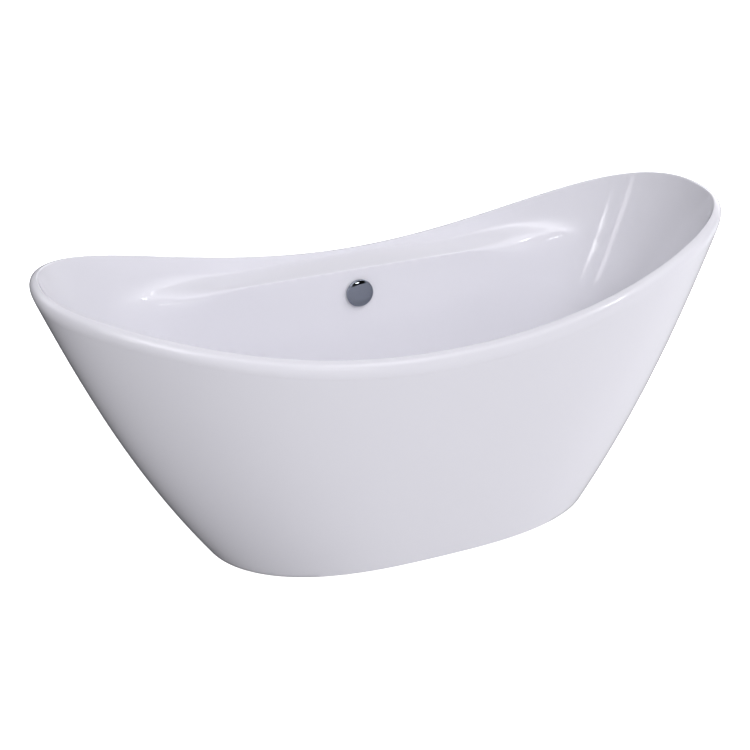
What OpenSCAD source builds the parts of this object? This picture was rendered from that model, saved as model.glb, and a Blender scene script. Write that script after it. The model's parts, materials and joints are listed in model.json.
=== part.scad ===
// Freestanding double-slipper bathtub: two bonded acrylic shells on a welded steel
// sub-frame with five levelling feet, and a push-to-open waste with an overflow.
// X runs along the tub, +Y is the overflow side, +Z is up.
// The origin is on the floor, under the middle of the tub.

/* [Rim] */
// Length over the rim's corner line, which its rounding brings in to 1700
tub_length = 1716; // [1656:10:1816]
// Width over the rim's corner line
tub_width = 710; // [696:2:760]
// Height of the rim's corner line at both ends
end_height = 732; // [707:5:767]
// Height of the rim's corner line half way along
middle_height = 569; // [555:2:591]
// Share of the rise that the rim makes early, before it levels out at the ends
rim_swell = 0.3; // [0:0.05:0.5]
// Width of the lip
lip_width = 26.5; // [24:0.5:34]
// How far the rounded lip runs down the outside
lip_drop = 35; // [20:1:45]
// Slope of the lip's top, rising inwards
lip_slope = 0.14; // [0:0.02:0.3]

/* [Outer skirt] */
// Length of the skirt where it meets the floor
base_length = 1010; // [970:10:1060]
// Width of the skirt where it meets the floor
base_width = 568; // [550:2:600]
// Outward bulge of the wall between floor and rim
wall_bulge = 0.336; // [0.2:0.01:0.4]
// Thickness of both acrylic shells
shell_t = 5; // [4:0.5:6]
// Gap under the skirt while the tub stands on its feet
skirt_gap = 2; // [1:0.5:4]

/* [Basin] */
// Height of the basin floor at its edge
floor_height = 125; // [120:1:135]
// Length of the basin floor, measured to where the end walls would meet it
floor_length = 1060; // [1000:10:1080]
// Width of the basin floor, measured to where the side walls would meet it
floor_width = 464; // [440:4:470]
// Radius of the curve between wall and floor
floor_round = 80; // [60:5:90]

/* [Overflow ledge] */
// Height of the ledge's edge
ledge_height = 550; // [536:1:553]
// Distance of the ledge's edge from the middle of the tub
ledge_y = 241; // [236:1:252]
// Height from the ledge's edge to where it meets the wall
ledge_rise = 14; // [10:1:18]
// Height of the overflow's centre
overflow_height = 487; // [472:1:492]
// Diameter of the overflow cover
cover_d = 71; // [66:1:74]

/* [Waste] */
// Diameter of the drain flange
drain_d = 70; // [68:1:72]
// Diameter of the stopper cap
stopper_d = 62; // [58:1:64]
// Outside diameter of the waste tailpiece
tail_d = 38.1; // [38.1]
// Outside diameter of the overflow pipe
pipe_d = 32; // [32]

/* [Frame and feet] */
// Width and height of the cross members
cross_size = 25; // [25]
// Width and height of the long rails
rail_size = 20; // [20]
// Wall of both tubes
tube_wall = 1.5; // [1:0.25:2]
// Distance of the outer cross members from the middle
cross_far = 360; // [340:5:370]
// Distance of the inner cross members from the middle
cross_near = 130; // [120:5:150]
// Distance of the corner feet from the middle line
foot_y = 160; // [150:2:162]
// Diameter of the foot studs
stud_d = 12; // [12]
// Diameter of the foot pads
pad_d = 44; // [36:1:48]

/* [Hidden] */
$fn = 64;

// Colours
acrylic = [0.90, 0.90, 0.94];
chrome = [0.80, 0.81, 0.83];
steel = [0.62, 0.64, 0.66];
rubber = [0.12, 0.12, 0.13];
moulding = [0.93, 0.93, 0.90];
timber = [0.76, 0.62, 0.42];
adhesive = [0.82, 0.80, 0.72];

// Shells: number of points round each ring, and half sizes
around = 96;
half_l = tub_length / 2;
half_w = tub_width / 2;
half_base_l = base_length / 2;
half_base_w = base_width / 2;
half_floor_l = floor_length / 2;
half_floor_w = floor_width / 2;
// Exponents of the rounded-oblong outlines, lengthways then across
rim_n = [2.95, 2.32];
base_n = [2.75, 2.2];
// Where the bulge of the wall sits: above zero, nearer the floor
bulge_skew = 0.086;
// Glue line between the lip and the skirt
joint_gap = 0.2;
// The flange turned in at the foot of the skirt
skirt_flange = 30;
skirt_foot = skirt_gap + shell_t;
// Depth of the ledge panel at the basin floor, and how it blends into the end walls
panel_depth_low = 35;
panel_blend = 40;
ledge_soft_from = 280;
ledge_soft_to = 520;
ledge_soft_rise = 45;
ledge_curl = 3;

// Heights under the basin
floor_under = floor_height - 13;
board_t = 12;
board_z = floor_under - board_t;
rail_z = board_z - rail_size;
cross_z = rail_z - cross_size;
rail_y = 115;
rail_half = 395;
fit = 0.05;

// Feet
stud_r = stud_d / 2;
nut_r = 11;
weld_nut_h = 10;
lock_nut_h = 7;
pad_h = 12;
stud_low = 4;
stud_top = cross_z + cross_size - tube_wall - 6.5;
feet = [
  [-cross_far, -foot_y], [cross_far, -foot_y], [cross_far, foot_y], [-cross_far, foot_y],
  [-cross_near, 0]
];
cross_x = [-cross_far, -cross_near, cross_near, cross_far];

// Waste: heights of the drain's parts, from the recess down to the tailpiece
recess_z = floor_height - 10;
recess_r = drain_d / 2 + 3;
drain_hole_r = 26;
drain_r = drain_d / 2;
drain_seal_t = 1;
drain_flange_z = recess_z + drain_seal_t;
drain_flange_t = 3;
drain_top = drain_flange_z + drain_flange_t;
thread_r = 23.9;
gasket_t = 4;
body_top = floor_under - gasket_t;
pipe_z = 58;
pipe_r = pipe_d / 2;
pipe_wall = 2;
tail_r = tail_d / 2;
socket_r = pipe_r + 4;
socket_nut_r = socket_r + 5;
body_r = 28;
neck_r = 23;
neck_low = 28;
neck_high = 37;
tail_low = 12;
tail_top_r = 19.5;
tail_wall = 1.5;
nut_lip = 3;
stem_r = 5;

// ---- Outlines and surfaces ----

// Power of a number that keeps the number's sign
function signed_pow(v, e) = sign(v) * pow(abs(v), e);

// A rounded oblong: half sizes, exponents, angle
function oblong(half_x, half_y, n, a) =
  [half_x * signed_pow(cos(a), 2 / n[0]), half_y * signed_pow(sin(a), 2 / n[1])];

// Half width of a rounded oblong at a place along it
function oblong_y(half_x, half_y, n, x) =
  half_y * pow(1 - pow(abs(x) / half_x, n[0]), 1 / n[1]);

// Height of the rim at a place along the tub
function rim_z(x) =
  middle_height + (end_height - middle_height)
  * ((1 + rim_swell) * pow(x / half_l, 2) - rim_swell * pow(x / half_l, 6));

// The sharp corner that the rounded lip is drawn inside
function rim_corner(a) =
  let (p = oblong(half_l, half_w, rim_n, a)) [p.x, p.y, rim_z(p.x)];

// Direction across the rim, towards the well
function rim_inward(a) =
  let (
    p = oblong(1, 1, rim_n, a),
    g = [rim_n[0] * signed_pow(p.x, rim_n[0] - 1) / half_l,
         rim_n[1] * signed_pow(p.y, rim_n[1] - 1) / half_w]
  )
  -[g.x, g.y, 0] / norm(g);

// Share of the way from base outline to rim outline, at a share of the height
function bulge(t) = t + wall_bulge * t * (1 - t) + bulge_skew * t * (1 - t) * (1 - 2 * t);

// Point of the outer wall at a share of the rim's height
function wall_point(a, t) =
  let (
    low = oblong(half_base_l, half_base_w, base_n, a),
    high = rim_corner(a),
    q = bulge(t)
  )
  [low.x + (high.x - low.x) * q, low.y + (high.y - low.y) * q, high.z * t];

// Foot of the lip, where basin and skirt meet
function lip_foot(a) =
  let (top = rim_corner(a), down = wall_point(a, 0.97) - top)
  top + down / norm(down) * lip_drop;

// The inner edge of that joint
function lip_foot_inside(a) = lip_foot(a) + rim_inward(a) * shell_t;

// Point on the lip at a distance in from the rim's corner
function lip_in(a, w) = rim_corner(a) + rim_inward(a) * w + [0, 0, lip_slope * w];

// The lip's rounded outside, from its foot (0) to its flat top (1)
function lip_round(a, s) =
  lip_foot(a) * pow(1 - s, 2) + rim_corner(a) * 2 * s * (1 - s) + lip_in(a, lip_width - 2) * s * s;

// The smaller of two numbers, rounded where they are within a distance of each other
function soft_min(p, q, reach) =
  min(p, q) - pow(max(reach - abs(p - q), 0), 2) / (4 * reach);

// 0 below the first limit, 1 above the second, smooth between
function ease(v, low, high) =
  let (t = max(0, min(1, (v - low) / (high - low)))) t * t * (3 - 2 * t);

// Plain inner wall at a height, before the ledge panel is pushed in
function plain_wall(a, z) =
  let (
    low = oblong(half_floor_l, half_floor_w, base_n, a),
    high = lip_in(a, lip_width),
    q = bulge((z - floor_height) / (high.z - floor_height))
  )
  [low.x + (high.x - low.x) * q, low.y + (high.y - low.y) * q, z];

// Plain inner wall's distance from the middle line, half way along the tub
function plain_y(z) = plain_wall(90, z).y;

// How far the panel under the ledge stands into the well at a height
function panel_depth(z) =
  let (share = (z - floor_height) / (ledge_height - floor_height))
  panel_depth_low + (plain_y(ledge_height) - ledge_y - panel_depth_low) * share;

// The panel's face
function panel_y(z) = plain_y(z) - panel_depth(z);

// Height of the ledge's curl at a place along the tub: it softens towards the ends
function ledge_rise_at(x) =
  ledge_rise + ledge_soft_rise * ease(abs(x), ledge_soft_from, ledge_soft_to);

// Inner wall at a height, with the ledge panel on the overflow side
function inner_wall(a, z, share) =
  let (p = plain_wall(a, z))
  p.y <= 0 ? p : [p.x, p.y - share * (p.y - soft_min(p.y, panel_y(z), panel_blend)), z];

// Height where the ledge ends in the wall above it
function ledge_top(a) =
  let (x = plain_wall(a, ledge_height).x) ledge_height + ledge_rise_at(x);

// A share of the ledge's depth gives a point on its curl
function ledge_point(a, share) =
  let (
    rise = ledge_top(a) - ledge_height,
    z = ledge_height + rise * (1 - pow(share, 1 / ledge_curl))
  )
  inner_wall(a, z, share);

// Curve from the wall into the floor
function floor_curve(a, s) =
  let (
    start = inner_wall(a, floor_height + floor_round, 1),
    corner = inner_wall(a, floor_height, 1),
    end = [corner.x * (1 - floor_round / half_floor_l),
           corner.y * (1 - floor_round / half_floor_w), floor_height]
  )
  start * pow(1 - s, 2) + corner * 2 * s * (1 - s) + end * s * s;

// Floor between its edge (0) and the drain's recess (1)
function floor_point(a, s) =
  let (edge = floor_curve(a, 1), drain = recess_edge(a, drain_top)) edge * (1 - s) + drain * s;

// Circle of the recess at a height
function recess_edge(a, z) = [recess_r * cos(a), recess_r * sin(a), z];

function angles() = [for (i = [0 : around - 1]) 360 * i / around];

// Unit vector
function unit(v) = v / max(norm(v), 0.000001);

// Surface normal of a grid of rings at ring j, point i
function grid_normal(grid, j, i) =
  let (
    n = len(grid[0]),
    last = len(grid) - 1,
    here = grid[j][i],
    along = grid[j][(i + 1) % n] - grid[j][(i + n - 1) % n],
    up = unit(grid[min(j + 1, last)][i] - here) + unit(here - grid[max(j - 1, 0)][i])
  )
  unit(cross(along, up));

// A grid of rings moved along its normals
function offset_grid(grid, distance) =
  [for (j = [0 : len(grid) - 1])
    [for (i = [0 : around - 1]) grid[j][i] + distance * grid_normal(grid, j, i)]];

// Every ring of a grid in the opposite order
function reversed(grid) = [for (j = [len(grid) - 1 : -1 : 0]) grid[j]];

// A closed tube of rings, each joined to the next and the last to the first
module ring_solid(rings) {
  count = len(rings);
  points = [for (ring = rings) each ring];
  faces = [
    for (j = [0 : count - 1]) for (i = [0 : around - 1])
      let (
        k = (i + 1) % around,
        m = (j + 1) % count,
        p = j * around + i,
        q = j * around + k,
        r = m * around + k,
        s = m * around + i
      )
      each [[p, r, q], [p, s, r]]
  ];
  polyhedron(points, faces);
}

// ---- Small shapes ----

// A pipe along +Z
module pipe(outer, inner, z0, z1) {
  translate([0, 0, z0])
    difference() {
      cylinder(r = outer, h = z1 - z0);
      translate([0, 0, -1]) cylinder(r = inner, h = z1 - z0 + 2);
    }
}

// A solid disc along +Z
module disc(r, z0, z1) {
  translate([0, 0, z0]) cylinder(r = r, h = z1 - z0);
}

// A nut along +Z, with a running bore
module hex_nut(r, bore, z0, z1) {
  difference() {
    translate([0, 0, z0]) cylinder(r = r, h = z1 - z0, $fn = 6);
    disc(bore, z0 - 1, z1 + 1);
  }
}

// Places children at the overflow: +Z points out of the well, +Y down the wall
overflow_lean = atan((panel_y(overflow_height + 20) - panel_y(overflow_height - 20)) / 40);
module at_overflow() {
  translate([0, panel_y(overflow_height), overflow_height])
    rotate([-(90 + overflow_lean), 0, 0]) children();
}

// ---- Shells ----

// Heights of the basin's rings on the way down the wall
function wet_grid() =
  let (
    at = angles(),
    lip = [for (s = [0 : 0.2 : 1]) [for (a = at) lip_round(a, s)]],
    edge = [[for (a = at) lip_in(a, lip_width)]],
    upper = [for (s = [0.25, 0.5, 0.75, 1])
      [for (a = at)
        let (z = lip_in(a, lip_width).z) inner_wall(a, z + (ledge_top(a) - z) * s, 0)]],
    ledge = [for (share = [0.12, 0.35, 0.65, 1]) [for (a = at) ledge_point(a, share)]],
    lower_low = floor_height + floor_round,
    lower = [for (s = [0.25, 0.5, 0.75])
      [for (a = at) inner_wall(a, ledge_height + (lower_low - ledge_height) * s, 1)]],
    curve = [for (s = [0 : 0.2 : 1]) [for (a = at) floor_curve(a, s)]],
    flat = [for (s = [0.5, 1]) [for (a = at) floor_point(a, s)]]
  )
  concat(lip, edge, upper, ledge, lower, curve, flat);

// Number of rings from the floor's edge to the recess
floor_rings = 3;

module basin_shell() {
  at = angles();
  wet = wet_grid();
  wall_last = len(wet) - 1 - floor_rings;
  dry_all = offset_grid(wet, -shell_t);
  foot = [[for (a = at) lip_foot_inside(a)]];
  dry_wall = [for (j = [1 : wall_last]) dry_all[j]];
  dry_floor = [for (j = [len(wet) - floor_rings, len(wet) - 1])
    [for (p = wet[j]) [p.x, p.y, floor_under]]];
  recess = [[for (a = at) recess_edge(a, recess_z)]];
  hole_top = [[for (a = at) [drain_hole_r * cos(a), drain_hole_r * sin(a), recess_z]]];
  hole_low = [[for (a = at) [drain_hole_r * cos(a), drain_hole_r * sin(a), floor_under]]];
  color(acrylic)
    difference() {
      ring_solid(concat(wet, recess, hole_top, hole_low, reversed(dry_floor),
                        reversed(dry_wall), foot));
      at_overflow() disc(24, -20, 20);
    }
}

function skirt_grid() =
  let (at = angles(), wall = [for (s = [0 : 0.125 : 1])
    [for (a = at) let (t0 = skirt_gap / rim_corner(a).z) wall_point(a, t0 + (0.88 - t0) * s)]])
  concat(wall, [[for (a = at) lip_foot(a) - [0, 0, joint_gap]]]);

module outer_skirt() {
  outer = skirt_grid();
  inner_all = offset_grid(outer, -shell_t);
  inner = concat(
    [for (j = [1 : len(outer) - 2]) inner_all[j]],
    [[for (a = angles()) lip_foot_inside(a) - [0, 0, joint_gap]]]
  );
  flange = [for (z = [skirt_foot, skirt_gap])
    [for (p = outer[0])
      let (share = 1 - skirt_flange / norm([p.x, p.y])) [p.x * share, p.y * share, z]]];
  root = [[for (p = inner_all[0]) [p.x, p.y, skirt_foot]]];
  color(acrylic) ring_solid(concat(outer, reversed(inner), root, flange));
}

// Bead of adhesive behind the joint between basin lip and skirt
module rim_bond_bead() {
  at = angles();
  reach = 10;
  thick = 4;
  spare = 0.4;
  lean = 1;
  function bead(a, down, inward) =
    let (foot = lip_foot(a), dir = unit(foot - rim_corner(a)))
    foot + dir * down + rim_inward(a) * inward;
  color(adhesive)
    ring_solid([
      [for (a = at) bead(a, reach, shell_t + spare)],
      [for (a = at) bead(a, 0, shell_t + spare)],
      [for (a = at) bead(a, -reach, shell_t + spare + lean)],
      [for (a = at) bead(a, -reach, shell_t + spare + lean + thick)],
      [for (a = at) bead(a, reach, shell_t + spare + thick)]
    ]);
}

// Board bonded under the basin floor
board_half_l = 450;
board_half_w = 148;
board_hole_r = 50;
screw_x = [-300, -60, 60, 300];
screw_r = 2.4;
module base_board() {
  color(timber)
    difference() {
      translate([0, 0, board_z])
        linear_extrude(board_t)
          polygon([for (a = [0 : 5 : 355]) oblong(board_half_l, board_half_w, [4, 4], a)]);
      disc(board_hole_r, board_z - 1, floor_under + 1);
      for (x = screw_x, side = [-1, 1])
        translate([x, side * rail_y, 0]) disc(screw_r, board_z - 1, board_z + 10);
    }
}

// ---- Frame ----

// A square tube centred on its length, along X
module square_tube(length, size) {
  translate([-length / 2, -size / 2, 0])
    difference() {
      cube([length, size, size]);
      translate([-1, tube_wall, tube_wall])
        cube([length + 2, size - 2 * tube_wall, size - 2 * tube_wall]);
    }
}

// A long rail under the board, with a way in for each screw
module rail(side) {
  access_r = 6;
  color(steel)
    translate([0, side * rail_y, rail_z])
      difference() {
        square_tube(2 * rail_half, rail_size);
        for (x = screw_x) translate([x, 0, 0]) {
          disc(access_r, -1, rail_size / 2);
          disc(screw_r + 0.1, rail_size / 2, rail_size + 1);
        }
      }
}
module front_rail() { rail(-1); }
module back_rail() { rail(1); }

// Half length of a cross member: it stops short of the skirt
function cross_half(x) = oblong_y(half_base_l, half_base_w, base_n, x) - 33;

// A cross member, with a hole for each foot stud that rises into it
module cross_member(k) {
  x = cross_x[k];
  color(steel)
    difference() {
      translate([x, 0, cross_z]) rotate([0, 0, 90]) square_tube(2 * cross_half(x), cross_size);
      for (f = feet) if (f.x == x) translate([f.x, f.y, 0]) disc(stud_r + 1, cross_z - 1, cross_z + 5);
    }
}
module cross_member_1() { cross_member(0); }
module cross_member_2() { cross_member(1); }
module cross_member_3() { cross_member(2); }
module cross_member_4() { cross_member(3); }

// Angle brackets on the ends of the cross members, standing on the skirt's flange
bracket_t = 3;
bracket_w = 30;
bracket_foot = 22;
bracket_hole_r = 2.5;
module skirt_brackets() {
  color(steel)
    for (x = cross_x, side = [-1, 1])
      translate([x, side * cross_half(x), 0])
        mirror([0, side < 0 ? 1 : 0, 0])
          difference() {
            translate([-bracket_w / 2, 0, 0]) {
              translate([0, 0, skirt_foot]) cube([bracket_w, bracket_foot, bracket_t]);
              translate([0, 0, skirt_foot]) cube([bracket_w, bracket_t, rail_z - 2 - skirt_foot]);
            }
            translate([0, bracket_foot - 8, 0]) disc(bracket_hole_r, 0, skirt_foot + bracket_t + 1);
          }
}
module bracket_screws() {
  color(steel)
    for (x = cross_x, side = [-1, 1])
      translate([x, side * (cross_half(x) + bracket_foot - 8), skirt_foot + bracket_t]) {
        disc(4.5, 0, 3);
        disc(bracket_hole_r, -bracket_t, 0);
      }
}

// Screws from inside the rails up into the board
module frame_screws() {
  head_top = board_z - tube_wall;
  color(steel)
    for (x = screw_x, side = [-1, 1])
      translate([x, side * rail_y, 0]) {
        disc(4.5, head_top - 3, head_top);
        disc(screw_r, head_top, board_z + 10);
      }
}

// ---- Levelling feet ----

module foot_weld_nuts() {
  color(steel)
    for (f = feet)
      translate([f.x, f.y, 0]) hex_nut(nut_r, stud_r + fit, cross_z - weld_nut_h, cross_z);
}

module foot_lock_nuts() {
  top = cross_z - weld_nut_h;
  color(steel)
    for (f = feet) translate([f.x, f.y, 0]) hex_nut(nut_r, stud_r + fit, top - lock_nut_h, top);
}

module foot_stud(k) {
  chamfer = 1;
  color(steel)
    translate([feet[k].x, feet[k].y, 0]) {
      disc(stud_r, stud_low, stud_top - chamfer);
      translate([0, 0, stud_top - chamfer])
        cylinder(r1 = stud_r, r2 = stud_r - chamfer, h = chamfer);
      translate([0, 0, pad_h]) cylinder(r = 9, h = 6, $fn = 6);
    }
}
module foot_stud_1() { foot_stud(0); }
module foot_stud_2() { foot_stud(1); }
module foot_stud_3() { foot_stud(2); }
module foot_stud_4() { foot_stud(3); }
module foot_stud_5() { foot_stud(4); }

module foot_pad(k) {
  pad_r = pad_d / 2;
  color(rubber)
    translate([feet[k].x, feet[k].y, 0])
      rotate_extrude()
        polygon([
          [0, 0], [pad_r - 1, 0], [pad_r, 1], [pad_r, 5], [pad_r - 8, pad_h], [stud_r, pad_h],
          [stud_r, stud_low], [0, stud_low]
        ]);
}
module foot_pad_1() { foot_pad(0); }
module foot_pad_2() { foot_pad(1); }
module foot_pad_3() { foot_pad(2); }
module foot_pad_4() { foot_pad(3); }
module foot_pad_5() { foot_pad(4); }

// ---- Overflow: local +Z points out of the well, 0 is the wall's wet face ----

cover_face = -16;
cover_back = -4;
wall_bow = 0.25;
washer_front = -2 - wall_bow;
flange_front = washer_front - 3;
overflow_bore_r = 17;
overflow_thread_r = 20;
seal_t = 4;
elbow_face = shell_t + seal_t;
elbow_axis = 36;
elbow_back = elbow_axis + socket_r + 2;
elbow_mouth = 48;

// A shallow domed cap with a rolled edge, on three clip legs
module overflow_cover() {
  r = cover_d / 2;
  wall = 2;
  dome = 4.5;
  roll = 1;
  leg_root = 3;
  color(chrome)
    at_overflow() {
      rotate_extrude()
        polygon([
          for (u = [0 : 0.2 : 1]) [(r - roll) * u, cover_face + dome * u * u],
          [r, cover_face + dome + roll], [r, cover_back], [r - wall, cover_back],
          for (u = [1 : -0.2 : 0]) [(r - wall) * u, cover_face + wall + dome * u * u]
        ]);
      for (a = [30, 150, 270])
        rotate([0, 0, a])
          translate([22, -4, cover_face + leg_root])
            cube([3, 8, flange_front - cover_face - leg_root]);
    }
}

module overflow_flange() {
  color(chrome)
    at_overflow() {
      pipe(31, overflow_bore_r, flange_front, washer_front);
      pipe(overflow_thread_r, overflow_bore_r, washer_front, elbow_face + 13);
      for (a = [0, 90])
        rotate([0, 0, a])
          translate([-overflow_bore_r - 1, -1.5, flange_front])
            cube([2 * overflow_bore_r + 2, 3, washer_front - flange_front]);
    }
}

module overflow_washer() {
  color(rubber) at_overflow() pipe(30, overflow_thread_r, washer_front, -wall_bow);
}

module overflow_seal() {
  color(rubber) at_overflow() pipe(32, overflow_thread_r, shell_t, elbow_face);
}

module overflow_elbow() {
  color(moulding)
    at_overflow() {
      difference() {
        union() {
          disc(32, elbow_face, elbow_face + 4);
          disc(24, elbow_face, elbow_back);
          translate([0, 0, elbow_axis]) rotate([-90, 0, 0]) disc(socket_r, 0, elbow_mouth);
        }
        disc(overflow_thread_r, elbow_face - 1, elbow_back - 4);
        translate([0, 0, elbow_axis]) rotate([-90, 0, 0]) {
          disc(pipe_r - pipe_wall, 0, elbow_mouth);
          disc(pipe_r + fit, elbow_mouth - 18, elbow_mouth + 1);
        }
      }
    }
}

// Where the overflow pipe's straight stretch would meet the height of the level one
pipe_bend = 45;
elbow_y = panel_y(overflow_height) + elbow_axis * cos(overflow_lean);
elbow_z = overflow_height - elbow_axis * sin(overflow_lean);
pipe_drop = (elbow_z - pipe_z) / cos(overflow_lean);
pipe_corner_y = elbow_y - pipe_drop * sin(overflow_lean);
pipe_turn = 90 - overflow_lean;
pipe_tangent = pipe_bend * tan(pipe_turn / 2);
inlet_mouth = 62;

// The pipe: down from the overflow, round a bend and level to the drain,
// with a moulded collar where each straight meets the bend
module overflow_pipe() {
  inner = pipe_r - pipe_wall;
  drop_end = pipe_drop - pipe_tangent;
  level_end = pipe_corner_y - pipe_tangent;
  collar = 5;
  seam = 0.2;
  color(moulding) {
    at_overflow()
      translate([0, 0, elbow_axis])
        rotate([-90, 0, 0]) {
          pipe(pipe_r, inner, elbow_mouth - 18, drop_end - seam);
          pipe(pipe_r + 2, pipe_r - 1, drop_end - collar, drop_end + collar);
        }
    translate([0, pipe_corner_y - pipe_tangent, pipe_z + pipe_bend])
      rotate([0, 90, 0])
        rotate_extrude(angle = pipe_turn)
          translate([pipe_bend, 0])
            difference() {
              circle(pipe_r);
              circle(inner);
            }
    translate([0, 0, pipe_z])
      rotate([-90, 0, 0]) {
        pipe(pipe_r, inner, inlet_mouth - 20, level_end - seam);
        pipe(pipe_r + 2, pipe_r - 1, level_end - collar, level_end + collar);
      }
  }
}

// A cap nut over the end of a socket that ends at a height along +Z
module socket_nut(mouth) {
  pipe(socket_nut_r, socket_r + fit, mouth - 14, mouth + 2);
  pipe(socket_nut_r, pipe_r + fit, mouth + 2, mouth + 5);
}

module overflow_nuts() {
  color(moulding) {
    at_overflow() translate([0, 0, elbow_axis]) rotate([-90, 0, 0]) socket_nut(elbow_mouth);
    translate([0, 0, pipe_z]) rotate([-90, 0, 0]) socket_nut(inlet_mouth);
  }
}

module overflow_pipe_washers() {
  color(rubber) {
    at_overflow()
      translate([0, 0, elbow_axis])
        rotate([-90, 0, 0]) pipe(socket_r, pipe_r + fit, elbow_mouth, elbow_mouth + 2);
    translate([0, 0, pipe_z])
      rotate([-90, 0, 0]) pipe(socket_r, pipe_r + fit, inlet_mouth, inlet_mouth + 2);
  }
}

// ---- Drain ----

seat_r = 21;
spider_z = 80;
spider_t = 5;
hub_r = 9;

module drain_flange() {
  thread_low = 74;
  color(chrome) {
    rotate_extrude()
      polygon([
        [seat_r, drain_flange_z], [drain_r, drain_flange_z], [drain_r, drain_top - 2],
        [drain_r - 2, drain_top], [seat_r + 2, drain_top], [seat_r, drain_top - 2]
      ]);
    pipe(thread_r, seat_r, thread_low, drain_flange_z);
    difference() {
      union() {
        disc(hub_r, spider_z, spider_z + spider_t);
        for (a = [0, 60, 120])
          rotate([0, 0, a])
            translate([-seat_r - 1, -1.5, spider_z]) cube([2 * seat_r + 2, 3, spider_t]);
      }
      disc(7, spider_z - 1, spider_z + spider_t + 1);
    }
  }
}

module drain_flange_seal() {
  color(rubber) pipe(drain_r - 1, drain_hole_r, recess_z, drain_flange_z);
}

module drain_gasket() {
  color(rubber) pipe(drain_r, thread_r, body_top, floor_under);
}

module drain_body() {
  chamber_low = 44;
  color(moulding)
    difference() {
      union() {
        disc(drain_r + 1, body_top - 5, body_top);
        disc(body_r, neck_high, body_top);
        disc(neck_r, neck_low, neck_high);
        translate([0, 0, pipe_z]) rotate([-90, 0, 0]) disc(socket_r, 0, inlet_mouth);
      }
      disc(thread_r, chamber_low, body_top + 1);
      disc(tail_top_r, neck_low - 1, chamber_low + 1);
      translate([0, 0, pipe_z]) rotate([-90, 0, 0]) {
        disc(pipe_r - pipe_wall, 0, inlet_mouth);
        disc(pipe_r + fit, inlet_mouth - 20, inlet_mouth + 1);
      }
    }
}

// The tailpiece, a little wider where the nut and the drain body hold it
module tailpiece() {
  held_low = neck_low - 2 - nut_lip;
  color(moulding) {
    pipe(tail_r, tail_r - tail_wall, tail_low, held_low);
    pipe(tail_top_r, tail_r - tail_wall, held_low, neck_high);
  }
}

module tailpiece_washer() {
  color(rubber) pipe(neck_r, tail_top_r, neck_low - 2, neck_low);
}

module tailpiece_nut() {
  color(moulding) {
    pipe(body_r, neck_r, neck_low - 2, neck_high - 1);
    pipe(body_r, tail_top_r + fit, neck_low - 2 - nut_lip, neck_low - 2);
  }
}

// ---- Push-to-open stopper, modelled shut ----

cap_low = drain_top + 0.5;
cap_t = 6;

module click_cartridge() {
  color(moulding) {
    pipe(7, stem_r + fit, spider_z - 12, spider_z + spider_t + 16);
    pipe(hub_r, 7, spider_z + spider_t, spider_z + spider_t + 3);
  }
}

module stopper_stem() {
  color(steel) {
    disc(stem_r, spider_z - 8, cap_low);
    disc(9, cap_low - 3, cap_low);
  }
}

module stopper_seal() {
  color(rubber)
    rotate_extrude()
      polygon([
        [9, cap_low - 3], [seat_r - 3, cap_low - 3], [seat_r - 0.4, cap_low - 1.2],
        [seat_r - 0.4, cap_low], [9, cap_low]
      ]);
}

module stopper_cap() {
  r = stopper_d / 2;
  color(chrome)
    rotate_extrude()
      polygon([
        [0, cap_low], [r - 1, cap_low], [r, cap_low + 1], [r, cap_low + 2],
        [r - 1.5, cap_low + 3.4], [r - 6, cap_low + 4.6], [r - 16, cap_low + cap_t - 0.4],
        [0, cap_low + cap_t]
      ]);
}

basin_shell();
outer_skirt();
rim_bond_bead();
base_board();
front_rail();
back_rail();
cross_member_1();
cross_member_2();
cross_member_3();
cross_member_4();
skirt_brackets();
bracket_screws();
frame_screws();
foot_weld_nuts();
foot_lock_nuts();
foot_stud_1();
foot_stud_2();
foot_stud_3();
foot_stud_4();
foot_stud_5();
foot_pad_1();
foot_pad_2();
foot_pad_3();
foot_pad_4();
foot_pad_5();
overflow_cover();
overflow_flange();
overflow_washer();
overflow_seal();
overflow_elbow();
overflow_pipe();
overflow_nuts();
overflow_pipe_washers();
drain_flange();
drain_flange_seal();
drain_gasket();
drain_body();
click_cartridge();
stopper_stem();
stopper_seal();
stopper_cap();
tailpiece();
tailpiece_nut();
tailpiece_washer();
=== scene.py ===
"""Freestanding double-slipper bathtub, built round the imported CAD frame.

Metres, +X along the tub, +Y towards the overflow, +Z up, origin on the floor.
"""

import json
import math

import bmesh
import bpy
import numpy as np
from mathutils import Matrix, Vector


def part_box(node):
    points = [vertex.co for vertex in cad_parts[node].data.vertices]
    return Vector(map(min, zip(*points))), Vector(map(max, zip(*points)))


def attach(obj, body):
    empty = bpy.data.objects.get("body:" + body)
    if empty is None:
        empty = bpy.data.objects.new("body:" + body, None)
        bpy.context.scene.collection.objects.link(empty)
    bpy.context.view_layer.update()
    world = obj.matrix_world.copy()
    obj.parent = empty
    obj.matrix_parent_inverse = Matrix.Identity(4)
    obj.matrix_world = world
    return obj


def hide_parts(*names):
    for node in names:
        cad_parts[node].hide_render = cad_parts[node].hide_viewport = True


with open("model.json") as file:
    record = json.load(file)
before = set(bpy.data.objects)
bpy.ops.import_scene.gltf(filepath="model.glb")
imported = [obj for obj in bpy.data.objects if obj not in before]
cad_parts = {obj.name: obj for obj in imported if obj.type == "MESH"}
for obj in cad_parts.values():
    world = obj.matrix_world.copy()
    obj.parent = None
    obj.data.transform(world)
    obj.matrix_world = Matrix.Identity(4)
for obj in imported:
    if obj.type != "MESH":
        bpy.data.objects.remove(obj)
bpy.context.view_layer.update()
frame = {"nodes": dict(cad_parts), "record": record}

# ---- Camera: the photograph's view ----

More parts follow.
